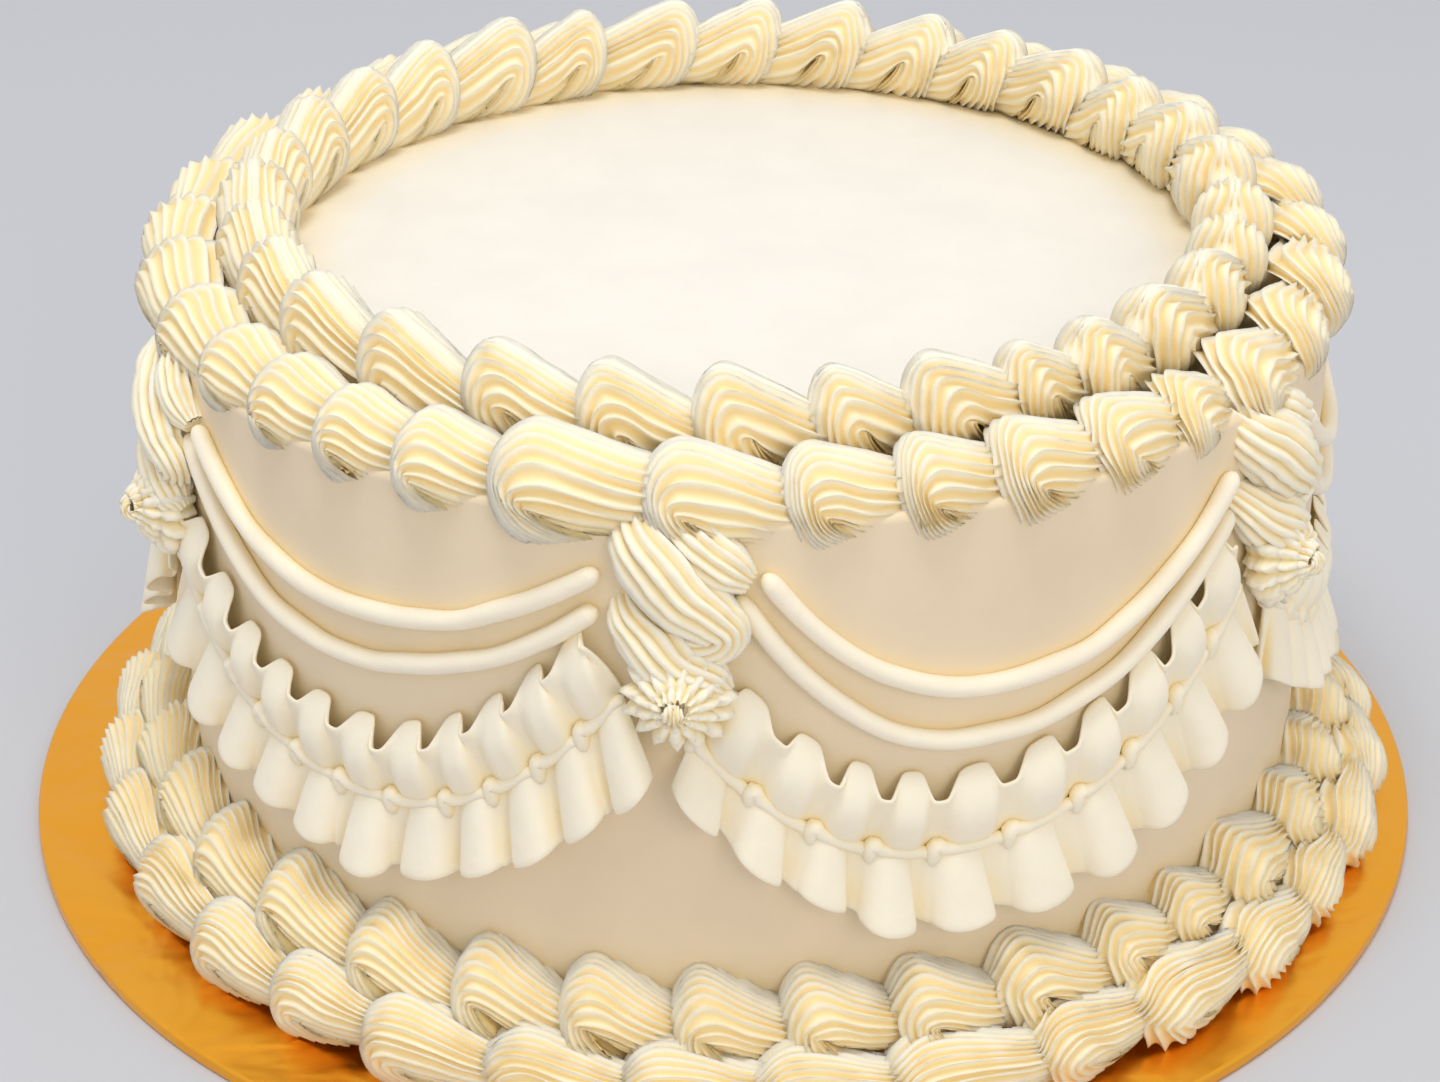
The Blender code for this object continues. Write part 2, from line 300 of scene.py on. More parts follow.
# The swags hang between six drops. A line is its left end, its lowest point and its right end: degrees
# from the drop at that side (the lowest point's from the left drop), and height above the board. The
# strings of every other swag sag less, by HIGHER, and its seam is the second of the two.
SWAGS = 6
SWAG_ANGLE = 360.0 / SWAGS
FIRST_DROP = -5.1
SAG_POWER = 2.2
HIGHER = 0.0075
UPPER_STRING = ((6.4, 0.1110), (27.0, 0.0840), (7.2, 0.1105))
LOWER_STRING = ((4.2, 0.1070), (25.7, 0.0735), (7.4, 0.1025))
SEAMS = (
    ((0.4, 0.0777), (23.5, 0.0504), (5.0, 0.0860)),
    ((0.6, 0.0777), (28.0, 0.0519), (5.2, 0.0860)),
)

# A string: its radius, the steps along it, how far its middle stands off the wall and where the steps
# of its round ends are, both as shares of the radius, how often and how far it bends by hand, how
# much thicker or thinner it gets, and its least thickness at the tip
STRING_RADIUS = 0.00195
STRING_STEPS = 72
STRING_SEAT = 0.9
STRING_END = (0.0, 0.12, 0.35, 0.65)
STRING_BENDS = 12
STRING_BEND = 0.35 * MM
STRING_UNEVEN = 0.05
STRING_TIP = 0.05

# Ruffles: a frill stands up from the seam and a flounce hangs from it, both gathered at the same
# folds, as many as FOLDS in the two kinds of swag, whose widths vary by FOLD_SPREAD. The frill's free
# edge flares and droops at its gathers. The flounce's stands forward between them, and hangs deeper or
# less deep by FLOUNCE_WIDTHS, five shares from left to right. Both lean by a share of the seam's
# slope, and their curves and gathers are powers of the way from the seam.
FOLDS = (10, 11)
SEAM_STEPS = 90
FOLD_SPREAD = 0.14
FRILL_RISE = 0.0162
FRILL_FLARE = 0.0036
FRILL_DROOP = 0.0038
FLOUNCE_FALL = 0.0150
FLOUNCE_FLARE = 0.0056
FLOUNCE_ROOT = 0.0020
FLOUNCE_WIDTHS = (
    ((0.62,), (0.90,), (1.0,), (1.12,), (1.10,)),
    ((1.12,), (0.96,), (0.95,), (1.02,), (1.05,)),
)
FRILL_LEAN = 0.45
FLOUNCE_LEAN = 0.38
FRILL_CURVE = 1.2
FLOUNCE_CURVE = 0.8
FLOUNCE_GATHER = 0.7
FLOUNCE_LENGTHS = 0.5
FRILL_UNEVEN = 0.2
FLOUNCE_UNEVEN = 0.15
FRILL_ROWS = 7
FLOUNCE_ROWS = 6
FOLD_COLUMNS = 26

# One fold of each ruffle's free edge, from gather to gather: share of its width, and how far it
# stands forward. The frill is forward at the gathers, the flounce between them.
FRILL_FOLD = (
    (0.0, 1.0), (0.10, 0.99), (0.16, 0.88), (0.22, 0.64), (0.28, 0.38), (0.34, 0.16),
    (0.40, 0.04), (0.49, 0.0), (0.59, 0.0), (0.69, 0.0), (0.765, 0.04), (0.81, 0.2),
    (0.84, 0.5), (0.87, 0.8), (0.91, 0.97), (1.0, 1.0),
)
FLOUNCE_FOLD = (
    (0.0, 0.50), (0.04, 0.66), (0.12, 0.86), (0.24, 0.98), (0.38, 1.0), (0.52, 0.95),
    (0.64, 0.86), (0.735, 0.74), (0.74, 0.60), (0.68, 0.46), (0.63, 0.34), (0.72, 0.26),
    (0.84, 0.28), (0.93, 0.38), (1.0, 0.50),
)

# Between its gathers the frill bellies out at its root and halfway up, and its edge arches from
# ARCH_START of a fold over ARCH_WIDTH of it
FRILL_ROOT_BELLY = 0.0014
FRILL_BELLY = 0.0036
FRILL_ARCH = 0.0006
ARCH_START = 0.35
ARCH_WIDTH = 0.55

# A ruffle's thickness, which is also how far its middle stands off the wall
SHEET = 0.0009

# The line of icing over the seam, from gather to gather: share of the fold, up, out and half thickness
SEAM_BEAD = (
    (0.00, -0.0030, 0.0016, 0.0012),
    (0.025, -0.0004, 0.0026, 0.0016),
    (0.06, 0.0011, 0.0026, 0.0017),
    (0.16, 0.0005, 0.0027, 0.00145),
    (0.40, 0.0, 0.0026, 0.00125),
    (0.66, -0.0001, 0.0025, 0.0012),
    (0.88, -0.0002, 0.0022, 0.00125),
    (0.96, -0.0012, 0.0018, 0.0012),
)

# Edges of the board and the coat, and the angle up to which neighbouring faces are smoothed
ROUND_SIDES = 256
BOARD_RIM = 0.0007
COAT_EDGE = 0.0016
SMOOTH_ANGLE = 40

# Icing: the power and the strength of the painted shade in a groove, how much light passes through
# piping, and a height below the whole cake, for icing with no painted shade on its sides
FURROW_SHADING_POWER = 1.15
FURROW_SHADING_STRENGTH = 0.9
GLOW = 0.15
BELOW_ALL = -1.0

# The two tints of the gold
GOLD_DEEP = (1.0, 0.42, 0.02, 1.0)
GOLD_PALE = (1.0, 0.50, 0.06, 1.0)

# The Mix node's sockets for colours
MIX_SHARE = 0
MIX_FIRST = 6
MIX_SECOND = 7
MIX_RESULT = 2


def deselect_all():
    if bpy.context.mode != "OBJECT":
        bpy.ops.object.mode_set(mode="OBJECT")
    bpy.ops.object.select_all(action="DESELECT")


def pick(*objects):
    deselect_all()
    for obj in objects:
        obj.select_set(True)
    bpy.context.view_layer.objects.active = objects[0]


def edit(obj):
    """Opens the object in edit mode with nothing selected."""
    pick(obj)
    bpy.ops.object.mode_set(mode="EDIT")
    bpy.ops.mesh.select_mode(type="VERT")
    bpy.ops.mesh.select_all(action="DESELECT")


def select_vertices(obj, test):
    """Leaves the object in edit mode with only the vertices that pass the test selected."""
    edit(obj)
    bpy.ops.object.mode_set(mode="OBJECT")
    for vertex in obj.data.vertices:
        vertex.select = test(vertex)
    bpy.ops.object.mode_set(mode="EDIT")


def shape_in_place(obj):
    """Writes the object's place, turn and size into its mesh."""
    pick(obj)
    bpy.ops.object.transform_apply(location=True, rotation=True, scale=True)


def own_copy(master):
    """A copy of an object with a mesh of its own."""
    copy = master.copy()
    copy.data = master.data.copy()
    bpy.context.collection.objects.link(copy)
    return copy


def curve_to_mesh(name, curve):
    """Makes a smooth mesh object from a curve."""
    made = bpy.data.objects.new(name, curve)
    bpy.context.collection.objects.link(made)
    pick(made)
    bpy.ops.object.convert(target="MESH")
    made = bpy.context.object
    made.data.shade_smooth()
    return made


def apply_modifiers(obj):
    pick(obj)
    for modifier in list(obj.modifiers):
        bpy.ops.object.modifier_apply(modifier=modifier.name)


def settle(obj, name, material, nodes):
    """Puts a finished piece's place into its mesh, dresses it and hangs it on the cake."""
    shape_in_place(obj)
    obj.name = name
    obj.data.name = name
    obj.data.materials.clear()
    obj.data.materials.append(material)
    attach(obj, "root")
    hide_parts(*nodes)
    return obj


def on_cake(azimuth, radius, height):
    """The point at this azimuth, this far from the cake's axis, this high above the board."""
    turn = math.radians(azimuth)
    return Vector((CAKE_X + radius * math.sin(turn), -radius * math.cos(turn), BOARD_TOP + height))


def seat(azimuth, radius, height, lean):
    """A place on the cake: X runs along the row, and Z leans outwards from straight up."""
    return (
        Matrix.Translation(on_cake(azimuth, radius, height))
        @ Matrix.Rotation(math.radians(azimuth), 4, "Z")
        @ Matrix.Rotation(math.radians(lean), 4, "X")
    )


# Materials


def new_material(name):
    material = bpy.data.materials.new(name)
    material.use_nodes = True
    return material, material.node_tree, material.node_tree.nodes["Principled BSDF"]


def add_node(tree, kind, **values):
    node = tree.nodes.new(kind)
    for key, value in values.items():
        if key in node.inputs:
            node.inputs[key].default_value = value
        else:
            setattr(node, key, value)
    return node


def set_or_link(tree, socket, value):
    """Gives a socket a plain value, or links it to another node's socket."""
    if isinstance(value, bpy.types.NodeSocket):
        tree.links.new(value, socket)
    else:
        socket.default_value = value


def noise(tree, place, scale, detail, roughness, distortion=0.0):
    """A cloudy pattern over the surface."""
    node = add_node(tree, "ShaderNodeTexNoise", Scale=scale, Detail=detail, Roughness=roughness)
    node.inputs["Distortion"].default_value = distortion
    tree.links.new(place, node.inputs["Vector"])
    return node.outputs["Fac"]


def map_range(tree, source, before, after, smooth=False):
    """Maps a value from one range to another."""
    node = tree.nodes.new("ShaderNodeMapRange")
    if smooth:
        node.interpolation_type = "SMOOTHSTEP"
    for name, value in zip(("From Min", "From Max", "To Min", "To Max"), (*before, *after)):
        node.inputs[name].default_value = value
    tree.links.new(source, node.inputs["Value"])
    return node.outputs["Result"]


def arithmetic(tree, operation, first, second):
    node = add_node(tree, "ShaderNodeMath", operation=operation)
    set_or_link(tree, node.inputs[0], first)
    set_or_link(tree, node.inputs[1], second)
    return node.outputs[0]


def mix_colours(tree, share, first, second):
    """Mixes two colours by the share of the second."""
    node = add_node(tree, "ShaderNodeMix", data_type="RGBA")
    set_or_link(tree, node.inputs[MIX_SHARE], share)
    set_or_link(tree, node.inputs[MIX_FIRST], first)
    set_or_link(tree, node.inputs[MIX_SECOND], second)
    return node.outputs[MIX_RESULT]


def bump(tree, height, distance, under=None):
    """Relief of this height, on top of another relief where one is given."""
    node = add_node(tree, "ShaderNodeBump", Strength=1.0)
    tree.links.new(height, node.inputs["Height"])
    set_or_link(tree, node.inputs["Distance"], distance)
    if under:
        tree.links.new(under, node.inputs["Normal"])
    return node.outputs["Normal"]


def make_icing_group():
    """Buttercream: painted warm shade in its hollows and grooves and painted side shade below a height,
    faintly cloudy, with fine pits and soft unevenness.
    """
    group = bpy.data.node_groups.new("buttercream_surface", "ShaderNodeTree")
    for name, kind in (
        ("Colour", "NodeSocketColor"),
        ("Hollow Colour", "NodeSocketColor"),
        ("Openness", "NodeSocketFloat"),
        ("Groove", "NodeSocketFloat"),
        ("Side Colour", "NodeSocketColor"),
        ("Side Height", "NodeSocketFloat"),
        ("Pit Depth", "NodeSocketFloat"),
        ("Wave Depth", "NodeSocketFloat"),
    ):
        group.interface.new_socket(name=name, in_out="INPUT", socket_type=kind)
    for name, kind in (
        ("Colour", "NodeSocketColor"),
        ("Roughness", "NodeSocketFloat"),
        ("Normal", "NodeSocketVector"),
    ):
        group.interface.new_socket(name=name, in_out="OUTPUT", socket_type=kind)
    given = group.nodes.new("NodeGroupInput").outputs
    made = group.nodes.new("NodeGroupOutput").inputs
    place = group.nodes.new("ShaderNodeTexCoord").outputs["Object"]
    link = group.links.new

    cloud = noise(group, place, 60.0, 3.0, 0.5)
    pits = noise(group, place, 1400.0, 4.0, 0.65)
    waves = noise(group, place, 170.0, 2.0, 0.5)

    # Painted shade: where little open sky reaches, the hollow colour stands in for shade and light
    # bounced in the hollow
    hollow = map_range(group, given["Openness"], (0.1, 0.8), (1.0, 0.0), smooth=True)
    furrow_shading = arithmetic(group, "POWER", given["Groove"], FURROW_SHADING_POWER)
    furrow_shading = arithmetic(group, "MULTIPLY", furrow_shading, FURROW_SHADING_STRENGTH)
    deeper = arithmetic(group, "MAXIMUM", furrow_shading, hollow)
    height = group.nodes.new("ShaderNodeSeparateXYZ")
    link(place, height.inputs[0])
    # Painted shade: below the given height the side colour stands in for the shade on the wall
    below = arithmetic(group, "LESS_THAN", height.outputs["Z"], given["Side Height"])
    plain = mix_colours(group, below, given["Colour"], given["Side Colour"])
    shaded_colour = mix_colours(group, deeper, plain, given["Hollow Colour"])
    tone = add_node(group, "ShaderNodeVectorMath", operation="SCALE")
    link(shaded_colour, tone.inputs[0])
    link(map_range(group, cloud, (0.3, 0.7), (0.975, 1.02)), tone.inputs["Scale"])
    link(tone.outputs[0], made["Colour"])

    link(map_range(group, pits, (0.3, 0.7), (0.42, 0.58)), made["Roughness"])
    soft = bump(group, waves, given["Wave Depth"])
    link(bump(group, pits, given["Pit Depth"], soft), made["Normal"])
    return group


def make_icing(name, group, colour, hollow, reach, pits, waves, glow, side=None, side_height=None):
    """Icing with painted warm shade in its grooves and in hollows within reach, and a painted side
    shade colour below the given height, if any.
    """
    material, tree, shader = new_material(name)
    surface = tree.nodes.new("ShaderNodeGroup")
    surface.node_tree = group
    surface.inputs["Colour"].default_value = (*colour, 1.0)
    surface.inputs["Hollow Colour"].default_value = (*hollow, 1.0)
    surface.inputs["Side Colour"].default_value = (*(side or colour), 1.0)
    surface.inputs["Side Height"].default_value = side_height or BELOW_ALL
    surface.inputs["Pit Depth"].default_value = pits
    surface.inputs["Wave Depth"].default_value = waves
    surface.inputs["Openness"].default_value = 1.0
    groove = add_node(tree, "ShaderNodeAttribute", attribute_name="groove")
    tree.links.new(groove.outputs["Fac"], surface.inputs["Groove"])
    if reach:
        open_sky = add_node(tree, "ShaderNodeAmbientOcclusion", samples=1, Distance=reach)
        tree.links.new(open_sky.outputs["AO"], surface.inputs["Openness"])
    tree.links.new(surface.outputs["Colour"], shader.inputs["Base Color"])
    tree.links.new(surface.outputs["Roughness"], shader.inputs["Roughness"])
    tree.links.new(surface.outputs["Normal"], shader.inputs["Normal"])
    shader.inputs["Subsurface Weight"].default_value = glow
    shader.inputs["Subsurface Radius"].default_value = (1.0, 0.62, 0.28)
    shader.inputs["Subsurface Scale"].default_value = 0.002
    shader.inputs["Specular IOR Level"].default_value = 0.4
    return material


def make_gold():
    """Gold foil on card: glossy, faintly rippled, with fine scratches."""
    material, tree, shader = new_material("gold_foil")
    link = tree.links.new
    place = tree.nodes.new("ShaderNodeTexCoord").outputs["Object"]
    ripple = noise(tree, place, 22.0, 3.0, 0.55, 0.6)
    stretch = add_node(tree, "ShaderNodeMapping", Scale=(30.0, 420.0, 1.0), Rotation=(0.0, 0.0, 0.5))
    link(place, stretch.inputs["Vector"])
    scratch = noise(tree, stretch.outputs["Vector"], 1.0, 2.0, 0.5)
    link(mix_colours(tree, ripple, GOLD_DEEP, GOLD_PALE), shader.inputs["Base Color"])
    link(map_range(tree, scratch, (0.45, 0.75), (0.28, 0.42)), shader.inputs["Roughness"])
    wavy = bump(tree, ripple, 0.0034)
    link(bump(tree, scratch, 0.000004, wavy), shader.inputs["Normal"])
    shader.inputs["Metallic"].default_value = 1.0
    return material


# Board and coat


def make_board(material):
    """The round gold board, with its cut edge eased."""
    bpy.ops.mesh.primitive_cylinder_add(
        vertices=ROUND_SIDES,
        radius=BOARD_RADIUS,
        depth=BOARD_TOP,
        location=(0.0, 0.0, BOARD_TOP / 2),
    )
    board = bpy.context.object
    rim = board.modifiers.new("rim", "BEVEL")
    rim.width = BOARD_RIM
    rim.segments = 3
    rim.limit_method = "ANGLE"
    apply_modifiers(board)
    board.data.shade_smooth()
    bpy.ops.object.shade_smooth_by_angle(angle=math.radians(SMOOTH_ANGLE))
    return settle(board, "gold_board", material, ["cake_board"])


def make_coat(material):
    """The smooth coat of icing on the whole cake."""
    bpy.ops.mesh.primitive_cylinder_add(
        vertices=ROUND_SIDES,
        radius=CAKE_RADIUS,
        depth=CAKE_TOP - CAKE_LOW.z,
        location=(CAKE_X, 0.0, (CAKE_TOP + CAKE_LOW.z) / 2),
    )
    coat = bpy.context.object
    edge = coat.modifiers.new("edge", "BEVEL")
    edge.width = COAT_EDGE
    edge.segments = 4
    edge.limit_method = "ANGLE"
    apply_modifiers(coat)
    bpy.ops.object.shade_smooth_by_angle(angle=math.radians(SMOOTH_ANGLE))
    return settle(coat, "icing_coat", material, ["cake_body"])


# Piped shells


def make_star_opening(name, ridges, depth):
    """The opening of a star tip: a circle whose notches are pushed in."""
    deselect_all()
    bpy.ops.mesh.primitive_circle_add(vertices=4 * ridges, radius=1.0, location=(0.0, 0.0, 0.0))
    opening = bpy.context.object
    select_vertices(opening, lambda vertex: vertex.index % 4 == 0)
    bpy.ops.transform.resize(value=(1 - depth,) * 3, center_override=(0.0, 0.0, 0.0))
    select_vertices(opening, lambda vertex: vertex.index % 4 in (1, 3))
    bpy.ops.transform.resize(value=(1 - depth * RIDGE_SHOULDER,) * 3, center_override=(0.0, 0.0, 0.0))
    pick(opening)
    bpy.ops.object.convert(target="CURVE")
    opening = bpy.context.object
    opening.name = name
    return opening


def pipe(name, route, opening, fineness):
    """Pipes a rope of icing through the opening along a route of (place, half thickness).

    Its attribute groove says how deep in a groove each vertex lies, from 0 to 1; the icing paints shade
    by it.
    """
    deselect_all()
    curve = bpy.data.curves.new(name, "CURVE")
    curve.dimensions = "3D"
    curve.resolution_u = fineness
    curve.bevel_mode = "OBJECT"
    curve.bevel_object = opening
    curve.use_fill_caps = True
    spline = curve.splines.new("BEZIER")
    spline.bezier_points.add(len(route) - 1)
    spline.radius_interpolation = "CARDINAL"
    for point, (place, thickness) in zip(spline.bezier_points, route):
        point.co = place
        point.radius = thickness
        point.handle_left_type = "AUTO"
        point.handle_right_type = "AUTO"
    rope = curve_to_mesh(name, curve)
    notches = [1 - point.co.xyz.length for point in opening.data.splines[0].points]
    deepest = max(notches)
    grooves = rope.data.attributes.new("groove", "FLOAT", "POINT")
    for number, value in enumerate(grooves.data):
        value.value = notches[number % len(notches)] / deepest
    return rope


def between(stops, spot):
    """The value at this share of the way along a list of stops, on a smooth curve through them all."""
    place = spot * (len(stops) - 1)
    first = min(int(place), len(stops) - 2)
    share = place - first
    before, here, after, later = (
        stops[max(0, min(len(stops) - 1, first + step))] for step in (-1, 0, 1, 2)
    )
    return tuple(
        0.5
        * (
            2 * q
            + (r - p) * share
            + (2 * p - 5 * q + 4 * r - t) * share**2
            + (3 * q - p - 3 * r + t) * share**3
        )
        for p, q, r, t in zip(before, here, after, later)
    )


def shell_body(size, along, turn):
    """A point of a shell's plain body, bent round the cake: X along the row, -Y outwards, Z up."""
    radius, length, wide, tall, taper, fall, drift = size
    along = max(along, 0.0)
    if along < SHELL_FULLEST:
        share = math.sqrt(max(0.0, 1 - (1 - along / SHELL_FULLEST) ** 2))
    else:
        share = 1 - taper * ((along - SHELL_FULLEST) / (1 - SHELL_FULLEST)) ** TAPER_POWER
    past = along - SHELL_FULLEST
    angle = math.radians(turn)
    out = radius + drift * past + wide * share * math.cos(angle)
    up = -fall * past + tall * share * math.sin(angle)
    swing = length * along / radius
    return Vector((out * math.sin(swing), radius - out * math.cos(swing), up))


def make_shell(name, row, rng):
    """One piped shell: a sheet whose columns follow its nested ridges, closed behind."""
    size = row.size
    ridges = [
        [
            (
                along + rng.uniform(-STRAY_ALONG, STRAY_ALONG) * (along > HEAD_END),
                turn + rng.uniform(-STRAY_TURN, STRAY_TURN),
            )
            for along, turn in ridge
        ]
        for ridge in row.ridges
    ]
    if row.two_sided:
        ridges[0] = list(row.ridges[0])
    spaces = row.spaces
    depths = [rng.uniform(*GROOVE_UNEVEN) for _ in range(spaces + 1)]
    drifts = [rng.uniform(-STRAY_ACROSS, STRAY_ACROSS) / spaces for _ in range(spaces + 1)]
    columns = row.columns * spaces
    across = columns + len(NEST_SHRINK)
    deselect_all()
    bpy.ops.mesh.primitive_grid_add(x_subdivisions=across, y_subdivisions=SHELL_STEPS, size=1.0)
    shell = bpy.context.object
    shell.name = name
    grooves = shell.data.attributes.new("groove", "FLOAT", "POINT")
    for vertex in shell.data.vertices:
        column = round((vertex.co.x + 0.5) * across)
        step = vertex.co.y + 0.5
        phase = min(column, columns) / columns
        first = min(int(phase * spaces), spaces - 1)
        within = phase * spaces - first
        drift = drifts[first] * (1 - within) + drifts[first + 1] * within
        level = 1 - (1 - phase) ** SHELL_CROWDING
        level = min(1.0, max(0.0, level + drift * math.sin(math.pi * phase)))
        stops = [between(points, level) for points in zip(*ridges)]
        along, turn = between(stops, step)
        if row.two_sided:
            turn = CREST if column == 0 and along > 0.001 else min(turn, CREST)
        spot = shell_body(size, along, turn)
        groove = (GROOVE_DEPTH + (GROOVE_SHALLOW - GROOVE_DEPTH) * phase) * MM * depths[first]
        fade = min(1.0, max(along, 0.0) / POLE)
        if row.two_sided:
            fade *= min(1.0, (CREST - turn) / CREST_FADE)
        hollow = math.sin(math.pi * within)
        spot -= shell_outwards(size, along, turn) * groove * fade * hollow**GROOVE_ROUND
        # Painted shade mask: strong deep in each groove, and growing over the whole nest
        grooves.data[vertex.index].value = max(phase**NEST_SHADING_POWER, fade * hollow)
        if column > columns:
            opposite = shell_body(size, max(along, 0.0), turn + 180)
            spot = opposite + (spot - opposite) * (1 + NEST_SHRINK[column - columns - 1]) / 2
        vertex.co = spot
    if row.two_sided:
        make_two_sided(shell, size)
    close_behind(shell)
    shell.data.shade_smooth()
    return shell


def shell_outwards(size, along, turn):
    """The direction out of a shell's plain body at this point."""
    towards_tail = shell_body(size, max(along, 0.0) + STEP_ALONG, turn) - shell_body(size, along, turn)
    near = max(along, STEP_ALONG / 2)
    higher = shell_body(size, near, turn + STEP_TURN)
    outwards = towards_tail.cross(higher - shell_body(size, near, turn - STEP_TURN))
    if outwards.length > 0:
        outwards.normalize()
    return outwards


def close_behind(shell):
    """Closes a sheet's open edge with a fan to its middle."""
    edit(shell)
    bpy.ops.mesh.select_non_manifold(
        extend=False, use_wire=False, use_multi_face=False, use_non_contiguous=False, use_verts=False
    )
    bpy.ops.mesh.extrude_region_move()
    bpy.ops.mesh.merge(type="CENTER")
    bpy.ops.mesh.select_all(action="SELECT")
    bpy.ops.mesh.normals_make_consistent(inside=False)
    deselect_all()


def make_two_sided(shell, size):
    """Joins the outer side of a standing shell to a mirrored inner side along its crest."""
    inner = own_copy(shell)
    for vertex in inner.data.vertices:
        spot = vertex.co
        swing = math.atan2(spot.x, size.radius - spot.y)
        out = math.hypot(spot.x, size.radius - spot.y)
        along = swing * size.radius / size.pitch
        middle = size.radius + size.drift * (max(along, 0.0) - SHELL_FULLEST)
        out = 2 * middle - out
        vertex.co = (out * math.sin(swing), size.radius - out * math.cos(swing), spot.z)
    pick(shell, inner)
    bpy.ops.object.join()
    edit(shell)
    bpy.ops.mesh.select_all(action="SELECT")
    bpy.ops.mesh.remove_doubles(threshold=MERGE_GAP)
    bpy.ops.object.mode_set(mode="OBJECT")


def make_shells(row):
    """A few unlike shells, each with its head at X 0 and its body's middle at the origin's height."""
    name = row.name.removesuffix("s")
    rng = random.Random(name)
    return [make_shell(f"{name}_{kind}", row, rng) for kind in range(SHELL_KINDS)]


def soften(obj, lumps):
    """Gives piped icing the unevenness of a hand."""
    texture = bpy.data.textures.new(obj.name + "_unevenness", "CLOUDS")
    texture.noise_scale, strength = lumps
    texture.noise_depth = 1
    uneven = obj.modifiers.new("uneven", "DISPLACE")
    uneven.texture = texture
    uneven.texture_coords = "LOCAL"
    uneven.strength = strength
    uneven.mid_level = 0.5
    apply_modifiers(obj)


def row_starts(row, rng):
    """The azimuths of a row's shells: those read from the photograph, then even ones round the back."""
    starts = list(row.seen)
    more = row.count - len(starts)
    gap = 360.0 - (starts[-1] - starts[0])
    for number in range(1, more + 1):
        stray = rng.uniform(-ROW_SPACING, ROW_SPACING)
        starts.append(row.seen[-1] + gap * (number + stray) / (more + 1))
    return starts


def place_row(row, shells, material):
    """Sets a row's shells round the cake, each with its tail under the next one's head."""
    rng = random.Random(row.name)
    starts = row_starts(row, rng)
    copies = []
    for number, azimuth in enumerate(starts):
        after = starts[number + 1] if number + 1 < row.count else starts[0] + 360.0
        stretch = (after - azimuth) * row.count / 360.0
        copy = own_copy(shells[(number + rng.randrange(2)) % len(shells)])
        radius = row.size.radius + rng.uniform(-ROW_STRAY, ROW_STRAY)
        place = seat(azimuth, radius, row.height, rng.uniform(-ROW_LEAN, ROW_LEAN))
        size = 1 + rng.uniform(-ROW_UNEVEN, ROW_UNEVEN)
        tilt = Matrix.Rotation(math.radians(rng.uniform(-ROW_TILT, ROW_TILT)), 4, "Y")
        size *= 1 + ROW_GROWTH * (stretch - 1)
        copy.matrix_world = place @ tilt @ Matrix.Diagonal((stretch, size, size, 1.0))
        copies.append(copy)
    pick(*copies)
    bpy.ops.object.join()
    joined = bpy.context.object
    shape_in_place(joined)
    soften(joined, SHELL_LUMPS)
    return settle(joined, row.name, material, [row.node])


# Lines of icing


def hung(line, number, higher=HIGHER):
    """A line at its place round the cake, as three points of azimuth and height."""
    left, low, right = line
    here = FIRST_DROP + SWAG_ANGLE * number
    lift = higher if number % 2 else 0.0
    return (
        (here + left[0], left[1]),
        (here + low[0], low[1] + lift),
        (here + SWAG_ANGLE - right[0], right[1]),
    )


def hanging_line(azimuth, line):
    """The height of a hung line at this azimuth."""
    left, low, right = line
    end = left if azimuth < low[0] else right
    share = abs(azimuth - low[0]) / abs(end[0] - low[0])
    return low[1] + (end[1] - low[1]) * share**SAG_POWER


def make_string(name, line, material, node):
    """A string of icing with round ends, piped against the wall by a hand that wavers a little."""
    rng = random.Random(name)
    deselect_all()
    curve = bpy.data.curves.new(name, "CURVE")
    curve.dimensions = "3D"
    curve.bevel_depth = STRING_RADIUS
    curve.bevel_resolution = 6
    curve.use_fill_caps = True
    left, _, right = line
    spline = curve.splines.new("POLY")
    span = math.radians(right[0] - left[0]) * CAKE_RADIUS
    end = [STRING_RADIUS * share / span for share in STRING_END]
    inner = [step / STRING_STEPS for step in range(1, STRING_STEPS)]
    shares = [*end, *inner, *[1 - share for share in reversed(end)]]
    spline.points.add(len(shares) - 1)
    bends = [rng.uniform(-1, 1) for _ in range(STRING_BENDS)]
    for point, share in zip(spline.points, shares):
        azimuth = left[0] + (right[0] - left[0]) * share
        spot = share * (len(bends) - 1)
        first = min(int(spot), len(bends) - 2)
        ease = (1 - math.cos(math.pi * (spot - first))) / 2
        uneven = bends[first] * (1 - ease) + bends[first + 1] * ease
        height = hanging_line(azimuth, line) + STRING_BEND * uneven
        point.co = (*on_cake(azimuth, CAKE_RADIUS + STRING_SEAT * STRING_RADIUS, height), 1.0)
        near_end = min(share, 1 - share) * span / STRING_RADIUS
        cap = math.sqrt(max(0.0, 1 - max(0.0, 1 - near_end) ** 2))
        point.radius = max(STRING_TIP, cap) * (1 + STRING_UNEVEN * uneven)
    return settle(curve_to_mesh(name, curve), name, material, [node])


# Drops


